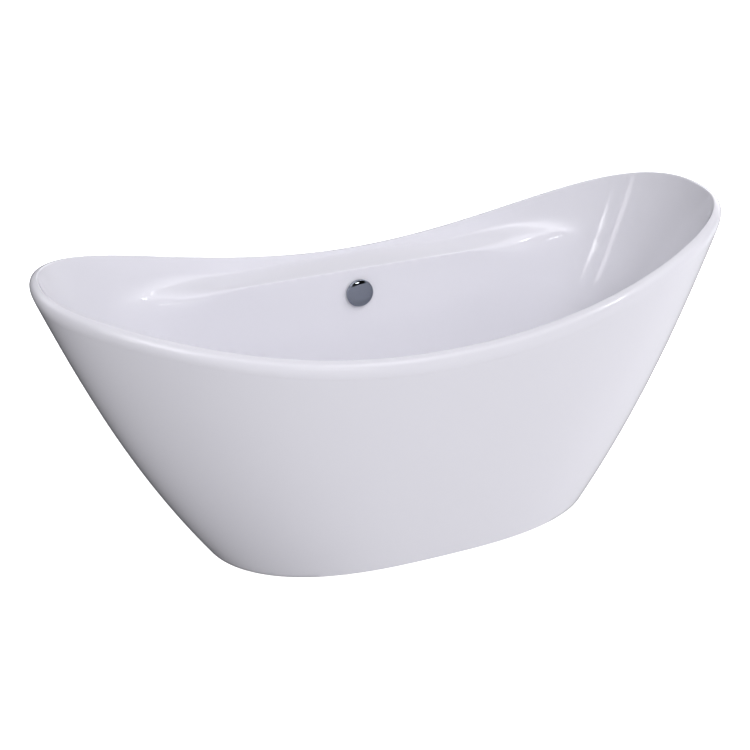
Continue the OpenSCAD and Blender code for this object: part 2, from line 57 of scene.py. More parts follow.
CAMERA_AZIMUTH = math.radians(22.818)
CAMERA_ELEVATION = math.radians(25.92)
CAMERA_ROLL = math.radians(-0.373)
CAMERA_DISTANCE = 3.784
CAMERA_AIM_HEIGHT = 0.3836
CAMERA_LENS_MM = 74.26
CAMERA_SHIFT = (-0.0272, -0.0120)


def make_camera():
    """A camera that looks at a point above the origin, with a small roll."""
    level = math.cos(CAMERA_ELEVATION)
    look = Vector((level * math.sin(CAMERA_AZIMUTH), level * math.cos(CAMERA_AZIMUTH),
                   -math.sin(CAMERA_ELEVATION)))
    right = Vector((math.cos(CAMERA_AZIMUTH), -math.sin(CAMERA_AZIMUTH), 0))
    up = right.cross(look)
    cos_roll, sin_roll = math.cos(CAMERA_ROLL), math.sin(CAMERA_ROLL)
    right, up = right * cos_roll + up * sin_roll, up * cos_roll - right * sin_roll
    data = bpy.data.cameras.new("camera")
    data.sensor_width = 36
    data.lens = CAMERA_LENS_MM
    data.shift_x, data.shift_y = CAMERA_SHIFT
    data.clip_end = 100
    camera = bpy.data.objects.new("camera", data)
    turn = Matrix((right, up, -look)).transposed().to_4x4()
    place = Vector((0, 0, CAMERA_AIM_HEIGHT)) - look * CAMERA_DISTANCE
    camera.matrix_world = Matrix.Translation(place) @ turn
    bpy.context.collection.objects.link(camera)
    bpy.context.scene.camera = camera


make_camera()

# ---- The tub's surfaces, as in the CAD part ----

# The rim is 0.2 mm inside the CAD's, so that the visual model stays inside the CAD box
RIM_HALF = (0.8578, 0.3548)
BASE_HALF = (0.505, 0.284)
FLOOR_HALF = (0.530, 0.232)
RIM_N = (2.95, 2.32)
BASE_N = (2.75, 2.2)
END_HEIGHT = 0.732
MIDDLE_HEIGHT = 0.569
RIM_SWELL = 0.3
WALL_BULGE = 0.336
BULGE_SKEW = 0.086
LIP_WIDTH = 0.0265
LIP_FLAT = 0.002
LIP_DROP = 0.035
LIP_SLOPE = 0.14
SHELL_T = 0.005
FLOOR_HEIGHT = 0.125
FLOOR_ROUND = 0.080
LEDGE_HEIGHT = 0.550
LEDGE_Y = 0.241
LEDGE_RISE = 0.014
LEDGE_CURL = 3
LEDGE_SOFT = (0.280, 0.520)
LEDGE_SOFT_RISE = 0.045
PANEL_DEPTH_LOW = 0.035
PANEL_BLEND = 0.040
SKIRT_FLANGE = 0.030

drain_low, drain_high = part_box("drain_flange")
cover_low, cover_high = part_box("overflow_cover")
seal_low, seal_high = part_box("drain_flange_seal")
DRAIN_LOW = drain_low[2]
DRAIN_TOP = drain_high[2]
DRAIN_SEAT = seal_high[2]
DRAIN_R = (drain_high[0] - drain_low[0]) / 2
DRAIN_HOLE_R = 0.026
RECESS_R = DRAIN_R + 0.003
RECESS_Z = seal_low[2]
RECESS_ROUND = 0.0006
FLOOR_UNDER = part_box("base_board")[1][2]
SKIRT_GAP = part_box("outer_skirt")[0][2]
OVERFLOW_Z = 0.487
OVERFLOW_HOLE_R = 0.024

AROUND = 320
SHELL_SHARP = 35


def signed_pow(v, e):
    """Power of a number that keeps the number's sign."""
    return np.sign(v) * np.abs(v) ** e


def oblong(half, n, a):
    """A rounded oblong: half sizes, exponents, angles. Returns x and y."""
    return (half[0] * signed_pow(np.cos(a), 2 / n[0]),
            half[1] * signed_pow(np.sin(a), 2 / n[1]))


def points(x, y, z):
    """Rows of x, y, z."""
    return np.stack(np.broadcast_arrays(x, y, z), axis=-1).astype(float)


def rim_z(x):
    """Height of the rim's corner line at a place along the tub."""
    u = x / RIM_HALF[0]
    rise = END_HEIGHT - MIDDLE_HEIGHT
    return MIDDLE_HEIGHT + rise * ((1 + RIM_SWELL) * u**2 - RIM_SWELL * u**6)


def rim_corner(a):
    """The corner that the rounded lip is drawn inside."""
    x, y = oblong(RIM_HALF, RIM_N, a)
    return points(x, y, rim_z(x))


def rim_inward(a):
    """Direction across the rim, towards the well."""
    x, y = oblong((1, 1), RIM_N, a)
    g = points(RIM_N[0] * signed_pow(x, RIM_N[0] - 1) / RIM_HALF[0],
               RIM_N[1] * signed_pow(y, RIM_N[1] - 1) / RIM_HALF[1], 0)
    return -g / np.linalg.norm(g, axis=-1, keepdims=True)


def bulge(t):
    """Share of the way from base outline to rim outline, at a share of the height."""
    return t + WALL_BULGE * t * (1 - t) + BULGE_SKEW * t * (1 - t) * (1 - 2 * t)


def wall_point(a, t):
    """Point of the outer wall at a share of the rim's height."""
    low = points(*oblong(BASE_HALF, BASE_N, a), 0)
    high = rim_corner(a)
    q = bulge(t)
    return points(low[:, 0] + (high[:, 0] - low[:, 0]) * q,
                  low[:, 1] + (high[:, 1] - low[:, 1]) * q, high[:, 2] * t)


def lip_foot(a):
    """Foot of the lip, where basin and skirt meet."""
    top = rim_corner(a)
    down = wall_point(a, 0.97) - top
    return top + down / np.linalg.norm(down, axis=1, keepdims=True) * LIP_DROP


def lip_in(a, w):
    """Point on the lip's top at a distance in from the rim's corner."""
    return rim_corner(a) + rim_inward(a) * w + np.array((0, 0, LIP_SLOPE * w))


def conic(start, corner, end, s):
    """Curve from start to end, drawn inside a corner."""
    return start * (1 - s) ** 2 + corner * 2 * s * (1 - s) + end * s * s


def lip_round(a, s):
    """The lip's rounded outside, from its foot (0) to its flat top (1)."""
    return conic(lip_foot(a), rim_corner(a), lip_in(a, LIP_WIDTH - LIP_FLAT), s)


def soft_min(p, q, reach):
    """The smaller of two numbers, rounded where they are within a distance of each other."""
    near = np.maximum(reach - np.abs(p - q), 0)
    return np.minimum(p, q) - near**2 / (4 * reach)


def ease(v, low, high):
    """0 below the first limit, 1 above the second, smooth between."""
    t = np.clip((v - low) / (high - low), 0, 1)
    return t * t * (3 - 2 * t)


def plain_wall(a, z):
    """Inner wall at a height, before the ledge panel is pushed in."""
    low_x, low_y = oblong(FLOOR_HALF, BASE_N, a)
    high = lip_in(a, LIP_WIDTH)
    q = bulge((z - FLOOR_HEIGHT) / (high[:, 2] - FLOOR_HEIGHT))
    return points(low_x + (high[:, 0] - low_x) * q, low_y + (high[:, 1] - low_y) * q, z)


MID_RIM_Z = MIDDLE_HEIGHT + LIP_SLOPE * LIP_WIDTH
MID_RIM_Y = RIM_HALF[1] - LIP_WIDTH


def plain_y(z):
    """The plain inner wall's distance from the middle line, half way along the tub."""
    t = (z - FLOOR_HEIGHT) / (MID_RIM_Z - FLOOR_HEIGHT)
    return FLOOR_HALF[1] + (MID_RIM_Y - FLOOR_HALF[1]) * bulge(t)


def panel_depth(z):
    """How far the panel under the ledge stands into the well at a height."""
    share = (z - FLOOR_HEIGHT) / (LEDGE_HEIGHT - FLOOR_HEIGHT)
    return PANEL_DEPTH_LOW + (plain_y(LEDGE_HEIGHT) - LEDGE_Y - PANEL_DEPTH_LOW) * share


def panel_y(z):
    """The panel's face."""
    return plain_y(z) - panel_depth(z)


def inner_wall(a, z, share):
    """Inner wall at a height, with the ledge panel on the overflow side."""
    p = plain_wall(a, z)
    y = p[:, 1]
    pushed = y - share * (y - soft_min(y, panel_y(z), PANEL_BLEND))
    return points(p[:, 0], np.where(y <= 0, y, pushed), z)


def ledge_rise(a):
    """Height of the ledge's curl: it softens towards the ends."""
    x = plain_wall(a, LEDGE_HEIGHT)[:, 0]
    return LEDGE_RISE + LEDGE_SOFT_RISE * ease(np.abs(x), *LEDGE_SOFT)


def ledge_point(a, climb):
    """Point on the ledge's curl, from its edge (0) to the wall above it (1)."""
    return inner_wall(a, LEDGE_HEIGHT + ledge_rise(a) * climb, (1 - climb) ** LEDGE_CURL)


def floor_curve(a, s):
    """Curve from the wall into the floor."""
    corner = inner_wall(a, FLOOR_HEIGHT, 1)
    end = corner.copy()
    end[:, 0] *= 1 - FLOOR_ROUND / FLOOR_HALF[0]
    end[:, 1] *= 1 - FLOOR_ROUND / FLOOR_HALF[1]
    return conic(inner_wall(a, FLOOR_HEIGHT + FLOOR_ROUND, 1), corner, end, s)


def circle(a, r, z):
    """A level circle round the drain."""
    return points(r * np.cos(a), r * np.sin(a), z)


def floor_point(a, s):
    """Floor between its edge (0) and the drain's recess (1)."""
    return floor_curve(a, 1) * (1 - s) + circle(a, RECESS_R, DRAIN_TOP) * s


def even_angles():
    """Angles that space the rim's points evenly, and hit its four middle lines."""
    fine = np.linspace(0, math.pi / 2, 20001)
    x, y = oblong(RIM_HALF, RIM_N, fine)
    run = np.concatenate(([0], np.cumsum(np.hypot(np.diff(x), np.diff(y)))))
    quarter = np.interp(np.linspace(0, run[-1], AROUND // 4 + 1), run, fine)
    half = np.concatenate((quarter[:-1], math.pi - quarter[:0:-1]))
    return np.concatenate((half, half + math.pi))


ANGLES = even_angles()


def normals_of(grid):
    """Unit normals of a grid of rings."""
    along = np.roll(grid, -1, axis=1) - np.roll(grid, 1, axis=1)
    step = np.diff(grid, axis=0)
    step /= np.maximum(np.linalg.norm(step, axis=2, keepdims=True), 1e-9)
    up = np.concatenate((step[:1], step[1:] + step[:-1], step[-1:]))
    n = np.cross(along, up)
    return n / np.maximum(np.linalg.norm(n, axis=2, keepdims=True), 1e-12)


def smooth_rings(grid, first, last, passes):
    """Evens out the rings between two of them, along the profile."""
    for _ in range(passes):
        part = grid[first:last]
        grid[first:last] = (grid[first - 1:last - 1] + 2 * part + grid[first + 1:last + 1]) / 4


def ring_mesh(name, rings, material_of_ring, materials):
    """A closed tube of rings, each joined to the next and the last to the first."""
    grid = np.array(rings)
    count, around = grid.shape[:2]
    i, j = np.meshgrid(np.arange(around), np.arange(count))
    k, m = (i + 1) % around, (j + 1) % count
    quads = np.stack((j * around + i, j * around + k, m * around + k, m * around + i), axis=-1)
    mesh = bpy.data.meshes.new(name)
    mesh.from_pydata(grid.reshape(-1, 3).tolist(), [], quads.reshape(-1, 4).tolist())
    for material in materials:
        mesh.materials.append(material)
    index = np.repeat(np.array(material_of_ring), around)
    mesh.polygons.foreach_set("material_index", index.astype(np.int32))
    mesh.polygons.foreach_set("use_smooth", np.ones(len(mesh.polygons), dtype=bool))
    mesh.update()
    mesh.set_sharp_from_angle(angle=math.radians(SHELL_SHARP))
    piece = bpy.data.objects.new(name, mesh)
    bpy.context.collection.objects.link(piece)
    return piece


# ---- Materials ----


def new_material(name, **sockets):
    """A material with a Principled shader and its plain socket values."""
    material = bpy.data.materials.new(name)
    material.use_nodes = True
    shader = material.node_tree.nodes["Principled BSDF"]
    for key, value in sockets.items():
        shader.inputs[key.replace("_", " ")].default_value = value
    return material, shader


def object_coords(tree, scale=(1, 1, 1)):
    """Object coordinates, stretched."""
    coords = tree.nodes.new("ShaderNodeTexCoord")
    mapping = tree.nodes.new("ShaderNodeMapping")
    mapping.inputs["Scale"].default_value = scale
    tree.links.new(coords.outputs["Object"], mapping.inputs["Vector"])
    return mapping.outputs["Vector"]


def noise(tree, coords, scale, detail=2.0, roughness=0.5):
    """A noise texture's factor."""
    node = tree.nodes.new("ShaderNodeTexNoise")
    node.inputs["Scale"].default_value = scale
    node.inputs["Detail"].default_value = detail
    node.inputs["Roughness"].default_value = roughness
    tree.links.new(coords, node.inputs["Vector"])
    return node.outputs["Fac"]


def ramp(tree, factor, low, high, low_at=0.3, high_at=0.7):
    """A colour ramp between two colours or greys."""
    node = tree.nodes.new("ShaderNodeValToRGB")
    for element, at, value in zip(node.color_ramp.elements, (low_at, high_at), (low, high)):
        element.position = at
        element.color = value if isinstance(value, tuple) else (value, value, value, 1)
    tree.links.new(factor, node.inputs["Fac"])
    return node.outputs["Color"]


def bump(tree, height, distance, strength=1.0, normal=None):
    """A bump of a height field, on top of another one if given."""
    node = tree.nodes.new("ShaderNodeBump")
    node.inputs["Distance"].default_value = distance
    node.inputs["Strength"].default_value = strength
    tree.links.new(height, node.inputs["Height"])
    if normal is not None:
        tree.links.new(normal, node.inputs["Normal"])
    return node.outputs["Normal"]


def acrylic_material():
    """Glossy white acrylic: faint tint drift, faint long ripples of the formed sheet, fine wear."""
    material, shader = new_material("glossy_acrylic", IOR=1.49)
    tree = material.node_tree
    wide = object_coords(tree)
    shade = ramp(tree, noise(tree, wide, 2.2, 3),
                 (0.815, 0.812, 0.848, 1), (0.830, 0.827, 0.861, 1))
    tree.links.new(shade, shader.inputs["Base Color"])
    tree.links.new(ramp(tree, noise(tree, wide, 35, 4), 0.035, 0.065), shader.inputs["Roughness"])
    ripple = bump(tree, noise(tree, wide, 5.5, 1), 0.0006, 0.5)
    peel = bump(tree, noise(tree, wide, 260, 2), 0.00002, 0.5, ripple)
    tree.links.new(peel, shader.inputs["Normal"])
    return material


def laminate_material():
    """The rough glass-fibre laminate on the back of the acrylic."""
    material, shader = new_material("fibre_laminate", Specular_IOR_Level=0.35)
    tree = material.node_tree
    strands = noise(tree, object_coords(tree), 90, 6, 0.75)
    shade = ramp(tree, strands, (0.50, 0.47, 0.36, 1), (0.70, 0.68, 0.58, 1))
    tree.links.new(shade, shader.inputs["Base Color"])
    tree.links.new(ramp(tree, strands, 0.35, 0.7), shader.inputs["Roughness"])
    tree.links.new(bump(tree, strands, 0.0015), shader.inputs["Normal"])
    return material


def chrome_material():
    """Polished chrome plate, with faint wipe marks."""
    material, shader = new_material("polished_chrome", Metallic=1.0,
                                    Base_Color=(0.33, 0.36, 0.41, 1))
    tree = material.node_tree
    wipes = noise(tree, object_coords(tree, (1, 1, 3)), 60, 5, 0.6)
    tree.links.new(ramp(tree, wipes, 0.03, 0.10), shader.inputs["Roughness"])
    tree.links.new(bump(tree, wipes, 0.00002, 0.4), shader.inputs["Normal"])
    return material


def grained_material(name, low, high, rough, scale, relief, metallic=0.0, detail=4):
    """A plain material with a grain: two colours, two roughnesses, one relief."""
    material, shader = new_material(name, Metallic=metallic)
    tree = material.node_tree
    grain = noise(tree, object_coords(tree), scale, detail, 0.6)
    tree.links.new(ramp(tree, grain, low + (1,), high + (1,)), shader.inputs["Base Color"])
    tree.links.new(ramp(tree, grain, *rough), shader.inputs["Roughness"])
    tree.links.new(bump(tree, grain, relief), shader.inputs["Normal"])
    return material


ACRYLIC = acrylic_material()
LAMINATE = laminate_material()
CHROME = chrome_material()
SLOT_MATERIALS = {
    "acrylic": ACRYLIC,
    "chrome": CHROME,
    "adhesive": grained_material("bonding_paste", (0.55, 0.52, 0.42), (0.66, 0.63, 0.54),
                                 (0.5, 0.7), 120, 0.0008),
    "board": grained_material("particle_board", (0.36, 0.25, 0.13), (0.66, 0.52, 0.33),
                              (0.7, 0.9), 260, 0.0004, detail=8),
    "painted_steel": grained_material("powder_coat", (0.065, 0.068, 0.074),
                                      (0.085, 0.088, 0.094), (0.35, 0.5), 900, 0.00006),
    "zinc_steel": grained_material("zinc_plate", (0.50, 0.51, 0.52), (0.68, 0.69, 0.70),
                                   (0.22, 0.42), 320, 0.00003, metallic=1.0),
    "rubber": grained_material("black_rubber", (0.018, 0.018, 0.020), (0.032, 0.032, 0.035),
                               (0.65, 0.85), 700, 0.00005),
    "white_moulding": grained_material("white_moulding", (0.72, 0.72, 0.70), (0.80, 0.80, 0.78),
                                       (0.30, 0.42), 420, 0.00004),
}
SLOT_OF_NODE = {part["node"]: part["material_slot"] for part in frame["record"]["subparts"]}


def paint_nodes():
    """Gives every CAD node its slot's material."""
    for name, node in frame["nodes"].items():
        material = SLOT_MATERIALS[SLOT_OF_NODE[name]]
        if not node.material_slots:
            node.data.materials.append(material)
        for holder in node.material_slots:
            holder.link = "OBJECT"
            holder.material = material


paint_nodes()

# ---- Shells ----

EDGE_TURN = (0.0015, 0.0035)
CREASE_SOFT = (0.0035, 0.0365)
LEAN_STEP = 0.02
SKIRT_EDGE_R = 0.0015
SKIRT_FIRST_STEP = 0.014
SEAM_GAP = np.array((0, 0, 0.0002))


def wet_grid(a):
    """The basin's wet side: lip, inner edge, upper wall, ledge, lower wall, floor.

    Gives the rings, and how many of them are wall."""
    rings = [lip_round(a, s) for s in np.linspace(0, 1, 24)]
    corner = lip_in(a, LIP_WIDTH)
    turn = EDGE_TURN[0] + EDGE_TURN[1] * (corner[:, 0] / RIM_HALF[0]) ** 2
    below = inner_wall(a, corner[:, 2] - turn, 0)
    rings += [conic(rings[-1], corner, below, s) for s in np.linspace(0, 1, 8)[1:]]
    top = LEDGE_HEIGHT + ledge_rise(a)
    start = corner[:, 2] - turn
    rings += [inner_wall(a, start + (top - start) * s, 0) for s in np.linspace(0, 1, 15)[1:]]
    edge = inner_wall(a, LEDGE_HEIGHT, 1)
    depth = np.maximum(plain_wall(a, LEDGE_HEIGHT)[:, 1] - edge[:, 1], 0.001)
    soften = CREASE_SOFT[0] + CREASE_SOFT[1] * ease(np.abs(edge[:, 0]), *LEDGE_SOFT)
    near = 1 - np.clip(1 - soften / depth, 0.3, 0.95) ** (1 / LEDGE_CURL)
    rings += [ledge_point(a, 1 - (1 - near) * s) for s in np.linspace(0, 1, 18)[1:]]
    below = inner_wall(a, LEDGE_HEIGHT - soften, 1)
    rings += [conic(rings[-1], edge, below, s) for s in np.linspace(0, 1, 9)[1:]]
    start = LEDGE_HEIGHT - soften
    low = FLOOR_HEIGHT + FLOOR_ROUND
    smooth_from = len(rings) + 6
    rings += [inner_wall(a, start + (low - start) * s, 1) for s in np.linspace(0, 1, 24)[1:]]
    rings += [floor_curve(a, s) for s in np.linspace(0, 1, 22)[1:]]
    walls = len(rings) - 2
    rings += [floor_point(a, s) for s in np.linspace(0, 1, 12)[1:]]
    grid = np.array(rings)
    smooth_rings(grid, smooth_from, len(rings) - 2, 12)
    return grid, walls


def cut_overflow_hole(piece):
    """Cuts the overflow's hole through the basin's wall."""
    r, reach = OVERFLOW_HOLE_R, 0.02
    bore = lathe("overflow_cutter", [(0, -reach), (r, -reach), (r, reach), (0, reach)],
                 overflow_matrix(), None, 48)
    cut = piece.modifiers.new("overflow_hole", "BOOLEAN")
    cut.object = bore
    cut.operation = "DIFFERENCE"
    cut.solver = "EXACT"
    depsgraph = bpy.context.evaluated_depsgraph_get()
    result = bpy.data.meshes.new_from_object(piece.evaluated_get(depsgraph))
    piece.modifiers.clear()
    piece.data = result
    bpy.data.objects.remove(bore)


def overflow_matrix():
    """Places a piece at the overflow, square to the leaning wall: its +Z points out of the well."""
    run = panel_y(OVERFLOW_Z + LEAN_STEP) - panel_y(OVERFLOW_Z - LEAN_STEP)
    lean = math.atan(run / (2 * LEAN_STEP))
    place = Matrix.Translation((0, panel_y(OVERFLOW_Z), OVERFLOW_Z))
    return place @ Matrix.Rotation(-(math.pi / 2 + lean), 4, "X")


def lathe(name, profile, matrix, material, segments=128, sharp=30):
    """A closed profile of (radius, height) points turned about Z, then placed."""
    turn = [2 * math.pi * k / segments for k in range(segments)]
    vertices, rows = [], []
    for r, z in profile:
        if r == 0:
            rows.append([len(vertices)] * segments)
            vertices.append((0, 0, z))
        else:
            rows.append(list(range(len(vertices), len(vertices) + segments)))
            vertices += [(r * math.cos(t), r * math.sin(t), z) for t in turn]
    faces = []
    for low, high in zip(rows, rows[1:] + rows[:1]):
        for k in range(segments):
            n = (k + 1) % segments
            corners = list(dict.fromkeys((low[k], low[n], high[n], high[k])))
            if len(corners) > 2:
                faces.append(corners)
    mesh = bpy.data.meshes.new(name)
    mesh.from_pydata(vertices, [], faces)
    mesh.transform(matrix)
    mesh.validate()
    if material is not None:
        mesh.materials.append(material)
    mesh.polygons.foreach_set("use_smooth", [True] * len(mesh.polygons))
    mesh.set_sharp_from_angle(angle=math.radians(sharp))
    piece = bpy.data.objects.new(name, mesh)
    bpy.context.collection.objects.link(piece)
    return piece


def make_basin():
    """The basin: the wet side and the same surface moved back, one closed shell."""
    a = ANGLES
    wet, walls = wet_grid(a)
    dry = (wet - SHELL_T * normals_of(wet))[:walls]
    dry[0] = lip_foot(a) + rim_inward(a) * SHELL_T
    edge = floor_point(a, 0)
    under = [points(edge[:, 0], edge[:, 1], FLOOR_UNDER), circle(a, RECESS_R, FLOOR_UNDER)]
    side_r = RECESS_R - RECESS_ROUND
    recess = [circle(a, side_r, DRAIN_TOP - 0.0008), circle(a, side_r, RECESS_Z),
              circle(a, DRAIN_HOLE_R, RECESS_Z), circle(a, DRAIN_HOLE_R, FLOOR_UNDER)]
    rings = list(wet) + recess + under[::-1] + list(dry[::-1])
    shown = len(wet) + len(recess) - 1
    index = [0] * shown + [1] * (len(rings) - shown - 1) + [0]
    piece = ring_mesh("basin", rings, index, (ACRYLIC, LAMINATE))
    cut_overflow_hole(piece)
    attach(piece, "tub")
    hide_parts("basin_shell")


def make_skirt():
    """The outer skirt: a fine outside, a coarser inside, and the flange at its foot."""
    a = ANGLES
    top = rim_corner(a)[:, 2]
    low = SKIRT_GAP / top
    outer = [wall_point(a, low + (0.9 - low) * s) for s in np.linspace(0, 1, 48)]
    foot = lip_foot(a) - SEAM_GAP
    last = outer[-1]
    outer += [last + (foot - last) * s for s in np.linspace(0, 1, 6)[1:]]
    outer = np.array(outer)
    smooth_rings(outer, 30, len(outer) - 1, 8)
    sparse = outer[::4]
    inner = sparse - SHELL_T * normals_of(sparse)
    inner[-1] = lip_foot(a) + rim_inward(a) * SHELL_T - SEAM_GAP
    base = outer[0]
    reach = 1 - SKIRT_FLANGE / np.hypot(base[:, 0], base[:, 1])
    turned = points(base[:, 0] * reach, base[:, 1] * reach, SKIRT_GAP)
    over = turned + np.array((0, 0, SHELL_T))
    root = inner[0].copy()
    root[:, 2] = SKIRT_GAP + SHELL_T
    toe = base + (turned - base) * (SKIRT_EDGE_R / SKIRT_FLANGE)
    base_up = base + (outer[1] - base) * (SKIRT_EDGE_R / SKIRT_FIRST_STEP)
    rings = [base_up] + list(outer[1:]) + list(inner[:0:-1]) + [root, over, turned, toe]
    shown = len(outer)
    index = [0] * shown + [1] * (len(rings) - shown - 1) + [0]
    piece = ring_mesh("skirt", rings, index, (ACRYLIC, LAMINATE))
    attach(piece, "tub")
    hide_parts("outer_skirt")


make_basin()
make_skirt()

# ---- Fittings ----


def arc(centre, r, start, end, steps=8):
    """Points of an arc between two angles in degrees."""
    turn = [math.radians(start + (end - start) * k / steps) for k in range(steps + 1)]
    return [(centre[0] + r * math.cos(t), centre[1] + r * math.sin(t)) for t in turn]


def thread_profile(r, low, high, pitch, depth):
    """Points of a row of fine ridges on an upright side, from low to high."""
    count = int((high - low) / pitch)
    line = [(r - depth, low)]
    for k in range(count):
        at = low + (k + 0.5) * (high - low) / count
        line += [(r - depth, at - pitch * 0.35), (r, at - pitch * 0.1), (r, at + pitch * 0.1),
                 (r - depth, at + pitch * 0.35)]
    return line + [(r - depth, high)]


def extruded(name, outline, width, matrix, material):
    """An outline in X and Z, extruded both ways along Y, with softened edges."""
    shape = bmesh.new()
    front = [shape.verts.new((x, -width / 2, z)) for x, z in outline]
    back = [shape.verts.new((x, width / 2, z)) for x, z in outline]
    shape.faces.new(front)
    shape.faces.new(back[::-1])
    count = len(outline)
    for k in range(count):
        n = (k + 1) % count
        shape.faces.new((front[n], front[k], back[k], back[n]))
    bmesh.ops.recalc_face_normals(shape, faces=shape.faces)
    bmesh.ops.bevel(shape, geom=list(shape.edges), offset=0.0003, segments=2, affect="EDGES",
                    clamp_overlap=True)
    bmesh.ops.transform(shape, matrix=matrix, verts=shape.verts)
    mesh = bpy.data.meshes.new(name)
    shape.to_mesh(mesh)
    shape.free()
    mesh.materials.append(material)
    piece = bpy.data.objects.new(name, mesh)
    bpy.context.collection.objects.link(piece)
    return piece


def joined(name, pieces, body, node, slot):
    """One piece out of several meshes, riding a body in a node's place."""
    whole = bmesh.new()
    for piece in pieces:
        whole.from_mesh(piece.data)
    mesh = bpy.data.meshes.new(name)
    whole.to_mesh(mesh)
    whole.free()
    mesh.materials.append(SLOT_MATERIALS[slot])
    for piece in pieces:
        bpy.data.objects.remove(piece)
    result = bpy.data.objects.new(name, mesh)
    bpy.context.collection.objects.link(result)
    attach(result, body)
    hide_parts(node)
    return result


# The overflow cover, in heights along its own axis: the wall's face is 0, the well is below it
COVER_R = (cover_high[0] - cover_low[0]) / 2
COVER_FACE = -0.016
COVER_DOME = 0.0045
COVER_CURL = 3
COVER_BACK = -0.004
COVER_WALL = 0.002
COVER_ROLL = 0.0016
COVER_EDGE = 0.0004
LEG_WIDTH = 0.008
FLANGE_FRONT = -0.00525


def make_cover():
    """The overflow's cover: a shallow dome with a rolled edge, and three barbed clip legs."""
    place = overflow_matrix()
    flat_r, inner_r = COVER_R - COVER_ROLL, COVER_R - COVER_WALL
    rim, inside = COVER_FACE + COVER_DOME, COVER_FACE + COVER_WALL
    steps = [k / 28 for k in range(29)]
    outer = [(flat_r * u, COVER_FACE + COVER_DOME * u**COVER_CURL) for u in steps[:-1]]
    roll = arc((flat_r, rim + COVER_ROLL), COVER_ROLL, -68, 0, 10)
    lip = [(COVER_R, COVER_BACK - COVER_EDGE), (COVER_R - COVER_EDGE, COVER_BACK),
           (inner_r + COVER_EDGE, COVER_BACK), (inner_r, COVER_BACK - COVER_EDGE)]
    inner = [(inner_r * u, inside + COVER_DOME * u**COVER_CURL) for u in steps[::-1]]
    pieces = [lathe("cover_shell", outer + roll + lip + inner, place, CHROME, 192)]
    root = inside + COVER_DOME * 0.35
    barb = [(0.022, root), (0.025, root), (0.025, -0.0085), (0.0262, -0.0078),
            (0.0252, FLANGE_FRONT), (0.022, FLANGE_FRONT)]
    for turn in (30, 150, 270):
        spin = place @ Matrix.Rotation(math.radians(turn), 4, "Z")
        pieces.append(extruded("cover_leg", barb, LEG_WIDTH, spin, CHROME))
    joined("overflow_cap", pieces, "tub", "overflow_cover", "chrome")


DRAIN_BORE = 0.021
DRAIN_BARREL = 0.0239
DRAIN_THREAD = (0.0018, 0.0007)
DRAIN_ROUNDS = (0.002, 0.003)
# The bars under the stopper, and the hub they meet in: its bore, its edge and its outside
BAR_LOW, BAR_HIGH = 0.080, 0.085
BAR_WIDTH = 0.003
BAR_INNER = 0.0082
HUB_R = (0.007, 0.0086, 0.009)
HUB_EDGE = 0.0004


def make_drain():
    """The drain flange: a rounded ring, a threaded barrel and the bars that hold the stopper."""
    bore, barrel, flange_r = DRAIN_BORE, DRAIN_BARREL, DRAIN_R
    low, seat, top = DRAIN_LOW, DRAIN_SEAT, DRAIN_TOP
    outer_round, inner_round = DRAIN_ROUNDS
    shape = [(bore, low + 0.0006), (bore + 0.0006, low), (barrel - 0.0012, low)]
    shape += thread_profile(barrel, low + 0.001, seat - 0.003, *DRAIN_THREAD)
    shape += [(barrel, seat), (flange_r - 0.0003, seat), (flange_r, seat + 0.0003)]
    shape += arc((flange_r - outer_round, top - outer_round), outer_round, 0, 90)
    shape += arc((bore + inner_round, top - inner_round), inner_round, 90, 180)
    pieces = [lathe("drain_ring", shape, Matrix(), CHROME, 160)]
    hub_bore, hub_edge, hub_r = HUB_R
    hub = [(hub_bore, BAR_LOW), (hub_edge, BAR_LOW), (hub_r, BAR_LOW + HUB_EDGE),
           (hub_r, BAR_HIGH - HUB_EDGE), (hub_edge, BAR_HIGH), (hub_bore, BAR_HIGH)]
    pieces.append(lathe("drain_hub", hub, Matrix(), CHROME, 64))
    reach = bore + 0.0005
    bar = [(BAR_INNER, BAR_LOW), (reach, BAR_LOW), (reach, BAR_HIGH), (BAR_INNER, BAR_HIGH)]
    for turn in range(0, 360, 60):
        spin = Matrix.Rotation(math.radians(turn), 4, "Z")
        pieces.append(extruded("drain_bar", bar, BAR_WIDTH, spin, CHROME))
    joined("drain_ring", pieces, "tub", "drain_flange", "chrome")


CAP_CROWN = 0.30
CAP_EDGE_R = 0.0016
CAP_UNDER_R = 0.0008


def make_stopper():
    """The stopper's crowned cap."""
    low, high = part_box("stopper_cap")
    r, thick = (high[0] - low[0]) / 2, high[2] - low[2]
    shares = [k / 24 for k in range(23)]
    crown = [(r * math.sqrt(u), high[2] - thick * CAP_CROWN * u) for u in shares]
    last_r, last_z = crown[-1]
    side = conic(np.array((last_r, last_z)), np.array((r, last_z - 0.0004)),
                 np.array((r, low[2] + CAP_EDGE_R)), np.linspace(0, 1, 9)[1:, None])
    under = arc((r - CAP_UNDER_R, low[2] + CAP_UNDER_R), CAP_UNDER_R, 0, -90, 5) + [(0, low[2])]
    profile = crown + [tuple(p) for p in side.tolist()] + under
    piece = lathe("stopper_button", profile, Matrix(), CHROME, 160)
    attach(piece, "stopper")
    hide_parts("stopper_cap")


THREAD_PITCH = 0.00175
THREAD_DEPTH = 0.00075
STUD_R = 0.006
STUD_CHAMFER = 0.001
HEX_R = 0.009
HEX_EDGE_R = 0.0082
HEX_HEIGHTS = (0.0006, 0.0054, 0.006)


